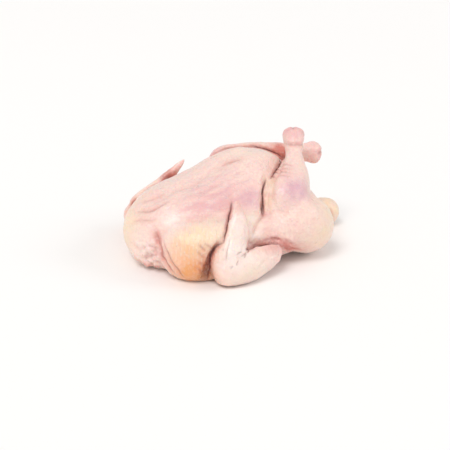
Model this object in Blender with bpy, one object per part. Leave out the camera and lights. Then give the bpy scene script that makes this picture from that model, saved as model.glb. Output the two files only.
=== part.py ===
"""A whole raw chicken lying on its back: breast up, hocks crossing over the vent, wings folded beside the breast.

The bird is one solid. Each of its forms is a loft: rings of points along a smooth spine. The forms are fused with
a voxel remesh and softened where skin runs over from one to the next. Then the main folds are pressed in, and the
skin is thinned to a few thousand triangles and cut flat where the bird rests.
Metres. The neck end is at -X, the tail at +X and +Z is up, so the bird's right side is at -Y. The stations are
measured from a point under the breastbone, and at the end the bird is moved so that the middle of its footprint
is the origin.
"""
import math

import bmesh
import bpy
import numpy as np
from mathutils import Vector
from mathutils.bvhtree import BVHTree

NAME = "chicken"
RESTING_LEVEL = 0.0

# How finely the forms are fused, how many smoothing steps each group takes, and how many triangles are left.
VOXEL = 0.0020
BODY_SOFTENING = 10
LEG_SOFTENING = 24
BIRD_SOFTENING = 2
TRIANGLES = 8600

# How finely each form is drawn.
RINGS = 40
RING_POINTS = 40
CURVE_STEPS = 24
SMALLEST_CAP = 0.02

# The trunk, as stations along the bird: place along X, half width, then the levels of the breast's top, of the
# widest line and of the back, which bulges below the resting level before it is cut flat.
TRUNK = (
    (-0.1198, 0.008, 0.037, 0.031, 0.022),
    (-0.1164, 0.022, 0.047, 0.030, 0.012),
    (-0.1080, 0.034, 0.055, 0.029, 0.003),
    (-0.0960, 0.045, 0.063, 0.029, -0.003),
    (-0.0800, 0.055, 0.070, 0.030, -0.006),
    (-0.0600, 0.062, 0.074, 0.033, -0.006),
    (-0.0400, 0.065, 0.078, 0.036, -0.006),
    (-0.0220, 0.064, 0.085, 0.040, -0.006),
    (-0.0050, 0.058, 0.095, 0.043, -0.006),
    (0.0100, 0.048, 0.101, 0.045, -0.006),
    (0.0280, 0.036, 0.100, 0.047, -0.006),
    (0.0450, 0.025, 0.095, 0.048, 0.000),
    (0.0570, 0.014, 0.085, 0.050, 0.010),
    (0.0620, 0.006, 0.072, 0.052, 0.030),
)
TRUNK_SQUARENESS = 2.25
KEEL_DIP = 0.0030
KEEL_WIDTH = 0.010

# The belly and pelvis behind the breast, in the same terms.
PELVIS = (
    (-0.020, 0.050, 0.050, 0.024, -0.006),
    (0.020, 0.054, 0.064, 0.028, -0.006),
    (0.050, 0.052, 0.070, 0.030, -0.006),
    (0.070, 0.047, 0.065, 0.028, -0.006),
    (0.088, 0.037, 0.052, 0.023, -0.006),
    (0.104, 0.026, 0.037, 0.017, -0.004),
    (0.118, 0.017, 0.027, 0.013, 0.000),
)

# Limbs, as stations along each spine: X, Y, Z and radius, or X, Y, Z, half width and half thickness.
TAIL = (
    (0.098, 0.000, 0.0180, 0.0160),
    (0.114, 0.000, 0.0155, 0.0160),
    (0.128, 0.000, 0.0140, 0.0158),
    (0.141, 0.000, 0.0125, 0.0120),
)
RIGHT_SHANK = (
    (0.0690, -0.0030, 0.1165, 0.0090),
    (0.0645, -0.0100, 0.1080, 0.0108),
    (0.0610, -0.0155, 0.1010, 0.0098),
    (0.0575, -0.0205, 0.0945, 0.0090),
    (0.0505, -0.0285, 0.0860, 0.0138),
    (0.0415, -0.0370, 0.0755, 0.0198),
    (0.0275, -0.0470, 0.0640, 0.0215),
)
LEFT_SHANK = (
    (0.1130, -0.0010, 0.0860, 0.0086),
    (0.1040, 0.0050, 0.0838, 0.0108),
    (0.0960, 0.0100, 0.0830, 0.0098),
    (0.0880, 0.0150, 0.0828, 0.0092),
    (0.0760, 0.0220, 0.0815, 0.0120),
    (0.0590, 0.0310, 0.0765, 0.0168),
    (0.0380, 0.0420, 0.0705, 0.0200),
)
RIGHT_DRUMSTICK = (
    (0.0505, -0.0285, 0.0860, 0.0142),
    (0.0415, -0.0370, 0.0755, 0.0206),
    (0.0280, -0.0470, 0.0640, 0.0246),
    (0.0150, -0.0565, 0.0545, 0.0250),
    (0.0080, -0.0615, 0.0490, 0.0235),
)
LEFT_DRUMSTICK = (
    (0.0760, 0.0220, 0.0815, 0.0122),
    (0.0590, 0.0310, 0.0765, 0.0174),
    (0.0380, 0.0420, 0.0705, 0.0218),
    (0.0180, 0.0520, 0.0645, 0.0238),
    (0.0070, 0.0580, 0.0600, 0.0230),
)
RIGHT_THIGH = (
    (0.0080, -0.0590, 0.0480, 0.0230),
    (0.0240, -0.0620, 0.0435, 0.0265),
    (0.0420, -0.0590, 0.0350, 0.0295),
    (0.0570, -0.0490, 0.0285, 0.0290),
    (0.0690, -0.0360, 0.0240, 0.0245),
)
LEFT_THIGH = (
    (0.0080, 0.0600, 0.0520, 0.0230),
    (0.0240, 0.0610, 0.0460, 0.0255),
    (0.0420, 0.0580, 0.0360, 0.0295),
    (0.0570, 0.0480, 0.0290, 0.0290),
    (0.0690, 0.0350, 0.0240, 0.0245),
)
RIGHT_FLANK = (
    (0.0360, -0.0590, 0.0300, 0.0270),
    (0.0180, -0.0570, 0.0310, 0.0260),
    (0.0000, -0.0510, 0.0320, 0.0230),
    (-0.0180, -0.0490, 0.0310, 0.0210),
    (-0.0350, -0.0490, 0.0300, 0.0200),
)
RIGHT_UPPER_ARM = (
    (-0.0990, -0.0240, 0.0270, 0.0230, 0.0210),
    (-0.0920, -0.0410, 0.0270, 0.0270, 0.0230),
    (-0.0790, -0.0545, 0.0270, 0.0290, 0.0240),
    (-0.0540, -0.0600, 0.0280, 0.0290, 0.0220),
    (-0.0250, -0.0620, 0.0220, 0.0200, 0.0170),
    (-0.0040, -0.0680, 0.0180, 0.0140, 0.0130),
)
LEFT_UPPER_ARM = (
    (-0.0780, 0.0360, 0.0260, 0.0230, 0.0210),
    (-0.0680, 0.0480, 0.0260, 0.0260, 0.0230),
    (-0.0500, 0.0560, 0.0270, 0.0270, 0.0220),
    (-0.0250, 0.0620, 0.0220, 0.0200, 0.0170),
    (-0.0040, 0.0680, 0.0180, 0.0140, 0.0130),
)
RIGHT_FOREARM = (
    (0.0010, -0.0750, 0.0210, 0.0105, 0.0105),
    (-0.0170, -0.0790, 0.0185, 0.0140, 0.0120),
    (-0.0400, -0.0845, 0.0155, 0.0155, 0.0130),
    (-0.0620, -0.0840, 0.0155, 0.0155, 0.0140),
    (-0.0790, -0.0800, 0.0170, 0.0150, 0.0130),
)
LEFT_FOREARM = (
    (0.0010, 0.0760, 0.0205, 0.0105, 0.0110),
    (-0.0170, 0.0810, 0.0175, 0.0145, 0.0120),
    (-0.0400, 0.0845, 0.0155, 0.0155, 0.0130),
    (-0.0620, 0.0840, 0.0160, 0.0150, 0.0140),
    (-0.0780, 0.0800, 0.0170, 0.0140, 0.0130),
)
RIGHT_HAND = (
    (-0.0700, -0.0830, 0.0180, 0.0160, 0.0120),
    (-0.0550, -0.0800, 0.0350, 0.0150, 0.0085),
    (-0.0470, -0.0740, 0.0520, 0.0115, 0.0060),
    (-0.0455, -0.0690, 0.0660, 0.0065, 0.0040),
    (-0.0470, -0.0665, 0.0770, 0.0025, 0.0025),
)
LEFT_HAND = (
    (-0.0700, 0.0830, 0.0190, 0.0150, 0.0110),
    (-0.0550, 0.0790, 0.0350, 0.0120, 0.0080),
    (-0.0380, 0.0730, 0.0520, 0.0085, 0.0060),
    (-0.0270, 0.0690, 0.0650, 0.0052, 0.0040),
    (-0.0190, 0.0660, 0.0740, 0.0025, 0.0025),
)

# The main folds, each a half width, a depth and a line along the skin.
FOLDS = {
    "breast_to_right_leg": (0.0045, 0.0075, (
        (0.052, -0.016, 0.092), (0.031, -0.034, 0.086), (0.016, -0.044, 0.080),
        (0.004, -0.051, 0.072), (-0.002, -0.057, 0.061), (-0.006, -0.062, 0.048))),
    "breast_to_left_leg": (0.0045, 0.0070, (
        (0.055, 0.014, 0.088), (0.040, 0.026, 0.091), (0.023, 0.037, 0.089),
        (0.007, 0.047, 0.081), (-0.005, 0.055, 0.068), (-0.008, 0.062, 0.050))),
    "above_right_forearm": (0.0035, 0.0080, (
        (-0.045, -0.075, 0.035), (-0.030, -0.074, 0.033), (-0.014, -0.075, 0.032), (0.002, -0.075, 0.031))),
    "above_left_forearm": (0.0035, 0.0080, (
        (-0.040, 0.074, 0.034), (-0.028, 0.074, 0.033), (-0.014, 0.075, 0.032), (0.002, 0.075, 0.031))),
    "before_right_wrist": (0.0035, 0.0060, (
        (-0.068, -0.075, 0.043), (-0.080, -0.079, 0.032), (-0.083, -0.077, 0.018), (-0.080, -0.070, 0.002))),
    "before_left_wrist": (0.0035, 0.0050, (
        (-0.066, 0.072, 0.040), (-0.078, 0.073, 0.028), (-0.078, 0.072, 0.016), (-0.076, 0.068, 0.002))),
    "right_shoulder": (0.0050, 0.0025, (
        (-0.108, -0.026, 0.045), (-0.111, -0.039, 0.034), (-0.111, -0.048, 0.022), (-0.107, -0.054, 0.006))),
    "right_of_tail": (0.0040, 0.0030, ((0.112, -0.010, 0.034), (0.116, -0.018, 0.022), (0.114, -0.018, 0.006))),
    "left_of_tail": (0.0040, 0.0030, ((0.112, 0.010, 0.034), (0.116, 0.018, 0.022), (0.114, 0.018, 0.006))),
}


def mirrored(stations):
    """The same stations on the other side of the bird."""
    return tuple((row[0], -row[1], *row[2:]) for row in stations)


def smooth_curve(stations, steps=CURVE_STEPS):
    """Rows along a smooth curve through the stations, so many to each stretch."""
    rows = np.array(stations, float)
    padded = np.vstack((2 * rows[0] - rows[1], rows, 2 * rows[-1] - rows[-2]))
    step = np.linspace(0.0, 1.0, steps, endpoint=False)[:, None]
    stretches = []
    for before, start, end, after in zip(padded, padded[1:], padded[2:], padded[3:]):
        stretches.append(0.5 * (
            2 * start + (end - before) * step
            + (2 * before - 5 * start + 4 * end - after) * step ** 2
            + (3 * start - before - 3 * end + after) * step ** 3))
    return np.vstack(stretches + [rows[-1:]])


def ring_stations(stations):
    """One row for each ring of a loft, closest together at both ends, and each ring's distance along it."""
    dense = smooth_curve(stations)
    distance = np.linalg.norm(np.diff(dense[:, :3], axis=0), axis=1)
    along = np.concatenate(([0.0], np.cumsum(distance)))
    target = along[-1] * (1.0 - np.cos(np.linspace(0.0, np.pi, RINGS))) / 2.0
    return np.column_stack([np.interp(target, along, column) for column in dense.T]), target


def linked(name, mesh):
    """A new object in the scene with this mesh."""
    form = bpy.data.objects.new(name, mesh)
    bpy.context.collection.objects.link(form)
    return form


def skinned(rings, name):
    """A closed form through rings of points, with a fan over each end."""
    build = bmesh.new()
    loops = [[build.verts.new(point) for point in ring] for ring in rings]
    count = len(loops[0])
    for lower, upper in zip(loops, loops[1:]):
        for i in range(count):
            j = (i + 1) % count
            build.faces.new((lower[i], lower[j], upper[j], upper[i]))
    for loop in (loops[0], loops[-1]):
        middle = build.verts.new(sum((vert.co for vert in loop), Vector()) / count)
        for i in range(count):
            build.faces.new((loop[i], loop[(i + 1) % count], middle))
    bmesh.ops.recalc_face_normals(build, faces=build.faces)
    mesh = bpy.data.meshes.new(name)
    build.to_mesh(mesh)
    build.free()
    return linked(name, mesh)


def limb(stations, name):
    """A loft along a spine, with round ends. Its sections are ellipses, thinnest across the bird."""
    rows, along = ring_stations([row if len(row) == 5 else (*row, row[3]) for row in stations])
    tangents = np.gradient(rows[:, :3], axis=0)
    tangents /= np.linalg.norm(tangents, axis=1)[:, None]
    across_bird = np.array((0.0, 1.0, 0.0))
    first_cap, last_cap = rows[0, 3], rows[-1, 3]
    rings = []
    for row, tangent, place in zip(rows, tangents, along):
        thin_way = across_bird - np.dot(across_bird, tangent) * tangent
        thin_way /= np.linalg.norm(thin_way)
        wide_way = np.cross(tangent, thin_way)
        rounding = 1.0
        for distance, cap in ((place, first_cap), (along[-1] - place, last_cap)):
            if distance < cap:
                rounding *= max(math.sqrt(1.0 - (1.0 - distance / cap) ** 2), SMALLEST_CAP)
        turns = np.linspace(0.0, 2 * np.pi, RING_POINTS, endpoint=False)[:, None]
        ring = row[:3] + rounding * (row[3] * np.cos(turns) * wide_way + row[4] * np.sin(turns) * thin_way)
        rings.append([Vector(point) for point in ring])
    return skinned(rings, name)


def squared(value):
    """A sine or cosine pushed outwards, which makes a circle a rounded box."""
    return math.copysign(abs(value) ** (2 / TRUNK_SQUARENESS), value)


def trunk(stations, name, dip):
    """Rounded box sections across the bird, with a shallow dip over the keel between the breasts."""
    rows, _ = ring_stations([(row[0], 0.0, 0.0, *row[1:]) for row in stations])
    rings = []
    for x, _, _, half_width, top, waist, bottom in rows:
        ring = []
        for turn in np.linspace(0.0, 2 * np.pi, 2 * RING_POINTS, endpoint=False):
            y = half_width * squared(math.cos(turn))
            rise = squared(math.sin(turn))
            if rise > 0:
                z = waist + (top - waist) * rise - dip * math.exp(-(y / KEEL_WIDTH) ** 2)
            else:
                z = waist + (waist - bottom) * rise
            ring.append(Vector((x, y, z)))
        rings.append(ring)
    return skinned(rings, name)


def settled(form):
    """The form with its modifiers applied."""
    evaluated = form.evaluated_get(bpy.context.evaluated_depsgraph_get())
    mesh = bpy.data.meshes.new_from_object(evaluated)
    form.modifiers.clear()
    form.data = mesh
    return form


def fused(forms, name, softening):
    """All the forms under one outer skin, softened by so many smoothing steps."""
    build = bmesh.new()
    for form in forms:
        build.from_mesh(form.data)
        bpy.data.objects.remove(form)
    mesh = bpy.data.meshes.new(name)
    build.to_mesh(mesh)
    build.free()
    whole = linked(name, mesh)
    remesh = whole.modifiers.new("Fuse", "REMESH")
    remesh.mode = "VOXEL"
    remesh.voxel_size = VOXEL
    soften = whole.modifiers.new("Soften", "SMOOTH")
    soften.factor = 0.5
    soften.iterations = softening
    return settled(whole)


def body_form():
    """The breast, belly, tail and upper arms, which one skin runs over."""
    return fused([
        trunk(TRUNK, "breast", KEEL_DIP),
        trunk(PELVIS, "pelvis", 0.0),
        limb(TAIL, "tail"),
        limb(RIGHT_UPPER_ARM, "right_upper_arm"),
        limb(LEFT_UPPER_ARM, "left_upper_arm"),
    ], "body", BODY_SOFTENING)


def leg_form(side, drumstick, thigh, flank):
    """One leg from the drumstick's thick end to the hip, with the flank's skin before it."""
    return fused([
        limb(drumstick, side + "_drumstick"),
        limb(thigh, side + "_thigh"),
        limb(flank, side + "_flank"),
    ], side + "_leg", LEG_SOFTENING)


def keep_outer_shell(form):
    """Leaves only the largest of the mesh's shells, so that no gap stays sealed inside."""
    build = bmesh.new()
    build.from_mesh(form.data)
    left = set(build.verts)
    shells = []
    while left:
        front = [left.pop()]
        shell = set(front)
        while front:
            for edge in front.pop().link_edges:
                fresh = left.intersection(edge.verts)
                left -= fresh
                shell |= fresh
                front.extend(fresh)
        shells.append(shell)
    largest = max(shells, key=len)
    bmesh.ops.delete(build, geom=[vert for vert in build.verts if vert not in largest], context="VERTS")
    build.to_mesh(form.data)
    build.free()


def press_fold(form, half_width, depth, line):
    """Presses a fold into the skin along a line, which is first laid onto the skin."""
    tree = BVHTree.FromPolygons(
        [vert.co for vert in form.data.vertices], [face.vertices for face in form.data.polygons])
    path = [tree.find_nearest(Vector(point))[0] for point in smooth_curve(line)]
    path = np.array([tuple(point) for point in path])
    places = np.array([tuple(vert.co) for vert in form.data.vertices])
    normals = [normal.vector.copy() for normal in form.data.vertex_normals]
    low = path.min(axis=0) - 3 * half_width
    high = path.max(axis=0) + 3 * half_width
    for i in np.flatnonzero(np.all((places > low) & (places < high), axis=1)):
        distances = np.linalg.norm(path - places[i], axis=1)
        nearest = int(distances.argmin())
        taper = math.sin(math.pi * (nearest + 1) / (len(path) + 1)) ** 0.5
        push = depth * taper * math.exp(-(distances[nearest] / half_width) ** 2)
        form.data.vertices[i].co -= push * normals[i]
    form.data.update()


def thin_out(form, triangles):
    """Reduces the mesh to about so many triangles, fewest where it is flattest."""
    form.data.calc_loop_triangles()
    reduction = form.modifiers.new("Thin out", "DECIMATE")
    reduction.ratio = triangles / len(form.data.loop_triangles)
    reduction.use_collapse_triangulate = True
    settled(form)


def cut_flat(form, level):
    """Cuts the form off below a level, with a flat face over each cut."""
    build = bmesh.new()
    build.from_mesh(form.data)
    bmesh.ops.bisect_plane(
        build, geom=build.verts[:] + build.edges[:] + build.faces[:],
        plane_co=(0.0, 0.0, level), plane_no=(0.0, 0.0, -1.0), clear_outer=True)
    bmesh.ops.holes_fill(build, edges=[edge for edge in build.edges if edge.is_boundary], sides=0)
    bmesh.ops.triangulate(build, faces=[face for face in build.faces if len(face.verts) > 3])
    bmesh.ops.recalc_face_normals(build, faces=build.faces)
    build.to_mesh(form.data)
    build.free()


def centre_on_footprint(form):
    """Moves the form's mesh so that the middle of its footprint is the origin."""
    places = np.array([tuple(vert.co) for vert in form.data.vertices])
    middle = (places.min(axis=0) + places.max(axis=0)) / 2
    for vert in form.data.vertices:
        vert.co.x -= middle[0]
        vert.co.y -= middle[1]
    form.data.update()


def skin_material():
    """Pale, moist poultry skin."""
    material = bpy.data.materials.new("raw_skin")
    material.use_nodes = True
    shader = material.node_tree.nodes["Principled BSDF"]
    shader.inputs["Base Color"].default_value = (0.86, 0.62, 0.53, 1.0)
    shader.inputs["Roughness"].default_value = 0.42
    shader.inputs["Metallic"].default_value = 0.0
    return material


def main():
    for old in list(bpy.data.objects):
        bpy.data.objects.remove(old)
    bird = fused([
        body_form(),
        leg_form("right", RIGHT_DRUMSTICK, RIGHT_THIGH, RIGHT_FLANK),
        leg_form("left", LEFT_DRUMSTICK, LEFT_THIGH, mirrored(RIGHT_FLANK)),
        limb(RIGHT_SHANK, "right_shank"),
        limb(LEFT_SHANK, "left_shank"),
        limb(RIGHT_FOREARM, "right_forearm"),
        limb(LEFT_FOREARM, "left_forearm"),
        limb(RIGHT_HAND, "right_hand"),
        limb(LEFT_HAND, "left_hand"),
    ], NAME, BIRD_SOFTENING)
    for half_width, depth, line in FOLDS.values():
        press_fold(bird, half_width, depth, line)
    bird = fused([bird], NAME, BIRD_SOFTENING)
    keep_outer_shell(bird)
    thin_out(bird, TRIANGLES)
    cut_flat(bird, RESTING_LEVEL)
    centre_on_footprint(bird)
    bird.data.shade_smooth()
    bird.data.materials.clear()
    bird.data.materials.append(skin_material())


main()
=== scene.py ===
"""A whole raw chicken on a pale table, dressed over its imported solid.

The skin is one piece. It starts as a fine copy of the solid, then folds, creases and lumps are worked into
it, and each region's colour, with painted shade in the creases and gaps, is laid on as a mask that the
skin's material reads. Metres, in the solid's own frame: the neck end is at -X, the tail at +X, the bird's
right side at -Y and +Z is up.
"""

from collections import namedtuple

import bpy
import numpy as np
from bpy.props import FloatProperty, FloatVectorProperty, IntProperty, PointerProperty
from mathutils import Matrix, Vector, noise


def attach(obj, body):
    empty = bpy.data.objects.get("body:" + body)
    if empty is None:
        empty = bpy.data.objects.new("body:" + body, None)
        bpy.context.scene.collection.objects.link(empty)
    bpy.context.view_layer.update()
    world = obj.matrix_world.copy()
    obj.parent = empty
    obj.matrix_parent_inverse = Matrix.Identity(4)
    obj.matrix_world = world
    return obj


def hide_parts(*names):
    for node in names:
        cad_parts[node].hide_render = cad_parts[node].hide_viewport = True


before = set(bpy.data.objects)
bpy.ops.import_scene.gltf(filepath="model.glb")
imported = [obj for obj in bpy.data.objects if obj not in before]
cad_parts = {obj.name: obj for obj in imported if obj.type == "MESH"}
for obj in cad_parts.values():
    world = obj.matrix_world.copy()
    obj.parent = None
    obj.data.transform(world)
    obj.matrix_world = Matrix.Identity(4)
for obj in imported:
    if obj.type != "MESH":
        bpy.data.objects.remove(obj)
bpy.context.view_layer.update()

bl_info = {
    "name": "Raw chicken",
    "version": (1, 0, 0),
    "blender": (4, 5, 0),
    "location": "View3D > Sidebar > Chicken",
    "description": "Builds the dressed skin of a whole raw chicken and the table that it is shown on",
    "category": "Object",
}

# Masks that are kept on the mesh. The hollow one marks skin that lies low, where raw pink is painted as
# shade; the thin one says how dark a crease's thin line of painted shade is, and the seam one holds the
# signed distance from that line. The shade mask is painted shade, and the raw one is partly raw flesh and
# partly painted shade.
SKIN_MASKS = (
    "pink", "cream", "amber", "mauve", "pale", "lavender", "raw", "shade", "tract", "wrinkled", "speckled",
    "streaked", "hollow_shade", "thin", "seam")

# Points that a curve has from one given point to the next.
CURVE_STEPS = 12
# How many times a line's moves onto the skin are evened out.
LAYING_STEPS = 12
# How far past a line's reach its skin is looked for.
SEARCH_MARGIN = 0.006
# Skin whose normal leans further from the line's own than this cosine lies across a gap from it.
FACING_LIMIT = -0.1
# The least length that a direction is divided by.
TINY = 1e-9
# A ripple leaves skin alone where its share is smaller than this.
LEAST_SHARE = 0.02

# How far a crease reaches, and the distance from its line that the seam mask holds as one.
CREASE_REACH = 0.010
SEAM_REACH = 0.004
# Where along a crease its taper starts and ends, and the taper's power, which makes its ends blunt.
CREASE_SPAN = (0.01, 0.99)
CREASE_TAPER = 0.4
# The power that shapes a crease's walls.
GROOVE_POWER = 1.5
# How far from the line its lips are, in half widths.
LIP_PLACE = 2.2
# The step from the right side to the left: how wide it is, and how far from it the skin is level again.
STEP_WIDTH = 0.0006
STEP_FADE = 0.0045
# How widely a crease's raw pink and painted shade spread, in half widths.
CREASE_SPREADS = {"raw": 1.9, "shade": 1.1, "thin": 1.8}
# How far a ridge and a painted line reach, in half widths.
RIDGE_REACH = 4
PAINT_REACH = 3

# A crease: its half width, depth and lip height, and how far the skin on the line's left stands over that
# on its right, all in millimetres; how strongly it shows as raw pink, as shade and as a thin dark line, all
# three painted shade in the crease; and the line.
Crease = namedtuple("Crease", "half_width depth lip step raw shade thin line")

CREASES = {
    "breast_to_right_leg_upper": Crease(1.3, 3.0, 0.2, 0.8, 0.55, 0.20, 1.0, (
        (0.044, -0.008, 0.089), (0.036, -0.015, 0.088), (0.027, -0.023, 0.087), (0.016, -0.031, 0.084),
        (0.006, -0.038, 0.080))),
    "breast_to_right_leg_lower": Crease(1.2, 1.5, 0.3, 1.0, 0.25, 0.05, 0.95, (
        (-0.001, -0.038, 0.079), (-0.004, -0.041, 0.077), (-0.008, -0.045, 0.072), (-0.010, -0.047, 0.066),
        (-0.012, -0.051, 0.058), (-0.015, -0.055, 0.052))),
    "side_to_right_thigh": Crease(1.8, 0.8, 0.3, 0.8, 0.10, 0.00, 0.10, (
        (-0.011, -0.050, 0.058), (-0.015, -0.056, 0.051), (-0.025, -0.063, 0.048), (-0.034, -0.069, 0.042),
        (-0.045, -0.073, 0.035))),
    "breast_to_left_leg": Crease(1.6, 2.2, 0.3, 0.5, 0.45, 0.25, 0.00, (
        (-0.004, 0.053, 0.080), (0.009, 0.048, 0.087), (0.019, 0.042, 0.089), (0.032, 0.034, 0.091),
        (0.044, 0.025, 0.089))),
    "breast_end": Crease(1.5, 2.2, 0.5, -0.6, 0.75, 0.25, 1.0, (
        (0.034, 0.033, 0.092), (0.042, 0.026, 0.090), (0.048, 0.019, 0.088), (0.054, 0.015, 0.085),
        (0.058, 0.012, 0.081))),
    "front_upper": Crease(2.4, 0.6, 0.4, 0.2, 0.15, 0.02, 0.05, (
        (-0.112, 0.017, 0.057), (-0.107, 0.010, 0.060), (-0.099, 0.006, 0.064), (-0.089, 0.005, 0.068))),
    "front_middle": Crease(2.2, 0.9, 0.6, 0.2, 0.22, 0.06, 0.12, (
        (-0.119, 0.008, 0.052), (-0.116, 0.000, 0.054), (-0.113, -0.007, 0.057), (-0.105, -0.011, 0.062),
        (-0.097, -0.014, 0.066))),
    "front_lower": Crease(2.2, 0.8, 0.3, 0.2, 0.15, 0.03, 0.10, (
        (-0.126, 0.004, 0.044), (-0.123, -0.005, 0.049), (-0.119, -0.016, 0.051), (-0.114, -0.021, 0.054))),
    "neck_left_fold": Crease(2.2, 1.5, 0.7, 0.3, 0.50, 0.00, 0.18, (
        (-0.119, -0.026, 0.044), (-0.119, -0.029, 0.040), (-0.119, -0.033, 0.035), (-0.121, -0.041, 0.027),
        (-0.120, -0.046, 0.019), (-0.115, -0.052, 0.011))),
    "neck_right_fold": Crease(1.6, 1.5, 0.7, 0.6, 0.40, 0.12, 0.45, (
        (-0.118, -0.042, 0.037), (-0.121, -0.048, 0.033), (-0.121, -0.052, 0.030), (-0.119, -0.056, 0.023),
        (-0.115, -0.060, 0.016), (-0.109, -0.060, 0.008))),
    "neck_middle_fold": Crease(1.4, 0.9, 0.4, 0.2, 0.30, 0.02, 0.20, (
        (-0.121, -0.036, 0.033), (-0.123, -0.042, 0.025), (-0.121, -0.048, 0.017), (-0.116, -0.053, 0.009))),
    "before_right_wrist": Crease(1.8, 3.2, 0.1, 1.2, 0.70, 0.20, 0.90, (
        (-0.079, -0.078, 0.042), (-0.083, -0.076, 0.039), (-0.087, -0.075, 0.033), (-0.090, -0.075, 0.026),
        (-0.090, -0.074, 0.016), (-0.087, -0.068, 0.003))),
    "beside_right_hand": Crease(1.1, 2.4, 0.1, 0.9, 0.75, 0.30, 1.0, (
        (-0.048, -0.048, 0.067), (-0.054, -0.055, 0.061), (-0.062, -0.064, 0.056), (-0.072, -0.074, 0.051),
        (-0.078, -0.079, 0.043))),
    "right_hand_bones": Crease(1.2, 0.7, 0.4, 0.3, 0.05, 0.05, 0.30, (
        (-0.073, -0.082, 0.046), (-0.079, -0.087, 0.036), (-0.082, -0.089, 0.029))),
    "above_right_forearm": Crease(1.6, 3.4, 0.1, -0.7, 0.50, 0.60, 1.0, (
        (-0.056, -0.086, 0.034), (-0.047, -0.080, 0.031), (-0.035, -0.073, 0.028), (-0.024, -0.072, 0.027),
        (-0.018, -0.073, 0.027), (-0.012, -0.076, 0.027))),
    "above_left_forearm": Crease(1.8, 3.4, 0.2, 0.5, 0.60, 0.50, 0.80, (
        (-0.055, 0.083, 0.034), (-0.040, 0.076, 0.032), (-0.025, 0.074, 0.030), (-0.010, 0.076, 0.028))),
    "before_left_wrist": Crease(2.2, 3.5, 0.3, -0.8, 0.60, 0.50, 0.80, (
        (-0.080, 0.073, 0.040), (-0.086, 0.074, 0.030), (-0.088, 0.073, 0.018), (-0.086, 0.068, 0.003))),
    "right_knuckle_neck": Crease(1.5, 0.8, 0.3, 0.0, 0.35, 0.05, 0.15, (
        (0.045, -0.010, 0.104), (0.047, -0.018, 0.103), (0.053, -0.021, 0.103), (0.059, -0.018, 0.104),
        (0.064, -0.013, 0.105))),
    "right_knuckle_top": Crease(1.5, 1.0, 0.3, 0.0, 0.35, 0.10, 0.20, (
        (0.052, -0.012, 0.117), (0.056, -0.006, 0.118), (0.060, 0.001, 0.116), (0.063, 0.005, 0.110))),
    "left_knuckle_end": Crease(1.5, 1.0, 0.2, 0.0, 0.40, 0.10, 0.20, (
        (0.092, -0.008, 0.086), (0.098, -0.009, 0.086), (0.103, -0.002, 0.086), (0.102, 0.006, 0.086))),
    "tail_fold": Crease(1.5, 0.9, 0.4, 0.3, 0.35, 0.10, 0.20, (
        (0.104, -0.012, 0.026), (0.110, -0.016, 0.018), (0.111, -0.016, 0.010))),
    "thigh_wrinkle_upper": Crease(1.3, 1.1, 0.6, 0.2, 0.60, 0.03, 0.00, (
        (-0.015, -0.071, 0.032), (-0.009, -0.075, 0.031), (-0.003, -0.079, 0.026), (0.011, -0.077, 0.018),
        (0.024, -0.076, 0.013))),
    "thigh_wrinkle_lower": Crease(1.3, 1.1, 0.6, 0.2, 0.60, 0.12, 0.00, (
        (-0.013, -0.073, 0.029), (-0.007, -0.077, 0.025), (0.002, -0.076, 0.020), (0.008, -0.074, 0.015))),
    "thigh_wrinkle_short": Crease(1.2, 0.9, 0.5, 0.2, 0.45, 0.00, 0.00, (
        (-0.006, -0.078, 0.032), (0.000, -0.080, 0.028), (0.011, -0.080, 0.022))),
    "keel_streak": Crease(2.2, 0.7, 0.2, 0.0, 0.35, 0.03, 0.10, (
        (-0.026, 0.002, 0.086), (-0.020, 0.000, 0.089), (-0.016, -0.006, 0.092), (-0.010, -0.012, 0.096))),
}

# Short pleats, wrinkles and quill marks: a section that all the lines of a kind have, then the lines.
FINE_LINES = {
    "wrist_pleats": ((1.0, 0.8, 0.4, 0.2, 0.35, 0.00, 0.08), (
        ((-0.0997, -0.0717, 0.0420), (-0.0975, -0.0743, 0.0390), (-0.0941, -0.0761, 0.0360)),
        ((-0.0952, -0.0731, 0.0435), (-0.0927, -0.0754, 0.0409), (-0.0889, -0.0757, 0.0378)),
        ((-0.1027, -0.0723, 0.0368), (-0.0998, -0.0748, 0.0332), (-0.0960, -0.0760, 0.0298)),
        ((-0.1016, -0.0746, 0.0264), (-0.0981, -0.0754, 0.0235), (-0.0924, -0.0729, 0.0199)),
        ((-0.1033, -0.0727, 0.0201), (-0.0995, -0.0738, 0.0172), (-0.0932, -0.0712, 0.0134)))),
    "leg_wrinkles": ((1.1, 0.7, 0.4, 0.0, 0.30, 0.00, 0.12), (
        ((0.0201, -0.0290, 0.0853), (0.0183, -0.0421, 0.0898), (0.0221, -0.0500, 0.0900)),
        ((0.0149, -0.0326, 0.0840), (0.0142, -0.0459, 0.0884), (0.0188, -0.0528, 0.0882)),
        ((0.0092, -0.0362, 0.0817), (0.0095, -0.0491, 0.0859), (0.0151, -0.0561, 0.0861)),
        ((0.0250, -0.0250, 0.0865), (0.0235, -0.0385, 0.0925), (0.0262, -0.0460, 0.0930)))),
    "quill_marks": ((0.7, 0.5, 0.4, 0.0, 0.10, 0.00, 0.33), (
        ((-0.0699, -0.0900, 0.0327), (-0.0665, -0.0892, 0.0342), (-0.0633, -0.0887, 0.0338)),
        ((-0.0657, -0.0907, 0.0305), (-0.0614, -0.0895, 0.0312), (-0.0578, -0.0877, 0.0319)),
        ((-0.0695, -0.0922, 0.0284), (-0.0717, -0.0938, 0.0264), (-0.0736, -0.0951, 0.0243)),
        ((-0.0798, -0.0945, 0.0223), (-0.0783, -0.0944, 0.0235), (-0.0769, -0.0942, 0.0246)),
        ((-0.0634, -0.0916, 0.0289), (-0.0615, -0.0906, 0.0297), (-0.0597, -0.0896, 0.0304)),
        ((-0.0568, -0.0879, 0.0313), (-0.0545, -0.0864, 0.0318), (-0.0522, -0.0848, 0.0323)))),
}


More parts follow.
